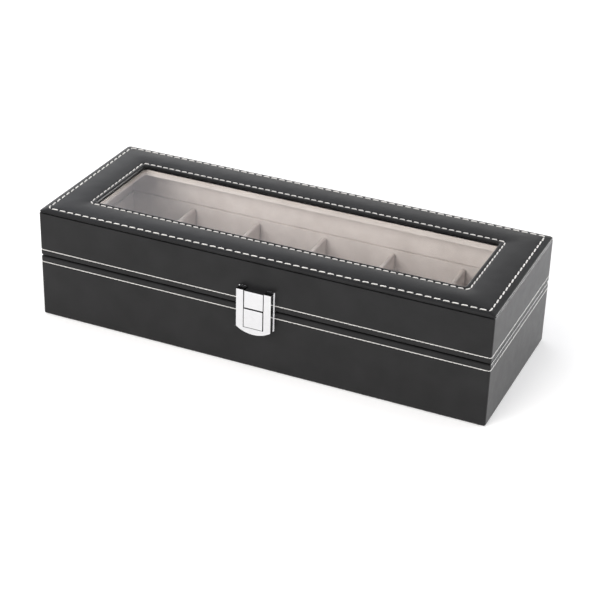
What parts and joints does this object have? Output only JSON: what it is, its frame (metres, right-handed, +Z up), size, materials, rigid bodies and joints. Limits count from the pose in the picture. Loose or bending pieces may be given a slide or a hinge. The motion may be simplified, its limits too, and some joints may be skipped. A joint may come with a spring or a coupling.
{
  "type": "watch box",
  "caption": "Long rectangular watch box with a row of velvet-lined compartments, a hinged lid with a stitched padded top round a glass window, and a push-button clasp.",
  "frame": {"origin": "centre of the underside, midway along the box and midway between the front and back faces of the leatherette", "axes": "+X along the box to the right seen from the front, +Y from the clasp to the hinges, +Z up"},
  "size_m": [0.32, 0.1329, 0.08],
  "materials": {
    "leatherette": "black, fine pebble grain, soft sheen",
    "thread": "off-white twisted thread",
    "velvet": "cream velvet, short pile",
    "mdf": "raw fibreboard",
    "foam": "soft foam",
    "felt": "black felt paper",
    "glass": "clear, polished",
    "chrome": "polished chrome plate",
    "steel": "nickel-plated steel"
  },
  "bodies": {
    "base": {"base_front_board": "mdf", "base_back_board": "mdf", "base_left_board": "mdf", "base_right_board": "mdf", "base_floor_board": "mdf", "base_cover": "leatherette", "base_thread": "thread", "underside_sheet": "felt", "floor_pad": "velvet", "liner_front": "velvet", "liner_back": "velvet", "liner_left": "velvet", "liner_right": "velvet", "divider_1": "velvet", "divider_2": "velvet", "divider_3": "velvet", "divider_4": "velvet", "divider_5": "velvet", "hinge_base_leaf_left": "steel", "hinge_base_leaf_right": "steel", "hinge_pin_left": "steel", "hinge_pin_right": "steel", "hinge_base_screws": "steel", "clasp_housing": "chrome", "clasp_housing_screws": "steel", "clasp_catch_spring": "steel", "clasp_spring_screw": "steel"},
    "lid": {"lid_front_board": "mdf", "lid_back_board": "mdf", "lid_left_board": "mdf", "lid_right_board": "mdf", "lid_front_rail": "mdf", "lid_back_rail": "mdf", "lid_left_rail": "mdf", "lid_right_rail": "mdf", "lid_front_padding": "foam", "lid_back_padding": "foam", "lid_left_padding": "foam", "lid_right_padding": "foam", "lid_side_cover": "leatherette", "lid_thread": "thread", "lid_top_cover": "leatherette", "glass_pane": "glass", "window_surround": "velvet", "lid_lining_front": "velvet", "lid_lining_back": "velvet", "lid_lining_left": "velvet", "lid_lining_right": "velvet", "hinge_lid_leaf_left": "steel", "hinge_lid_leaf_right": "steel", "hinge_lid_screws": "steel", "clasp_tongue": "chrome", "clasp_tongue_screws": "steel"},
    "button": {"clasp_button": "chrome"}
  },
  "joints": [
    {"name": "lid_hinge", "type": "hinge", "parent": "base", "child": "lid", "pos_m": [0, 0.0629, 0.0454], "axis": [-1, 0, 0], "range_deg": [0, 95], "deforming": ["clasp_catch_spring"]},
    {"name": "button_press", "type": "slide", "parent": "base", "child": "button", "axis": [0, 1, 0], "range_m": [0, 0.0007], "stiffness_N_per_m": 600, "springref_m": -0.0005, "deforming": ["clasp_catch_spring"]}
  ]
}
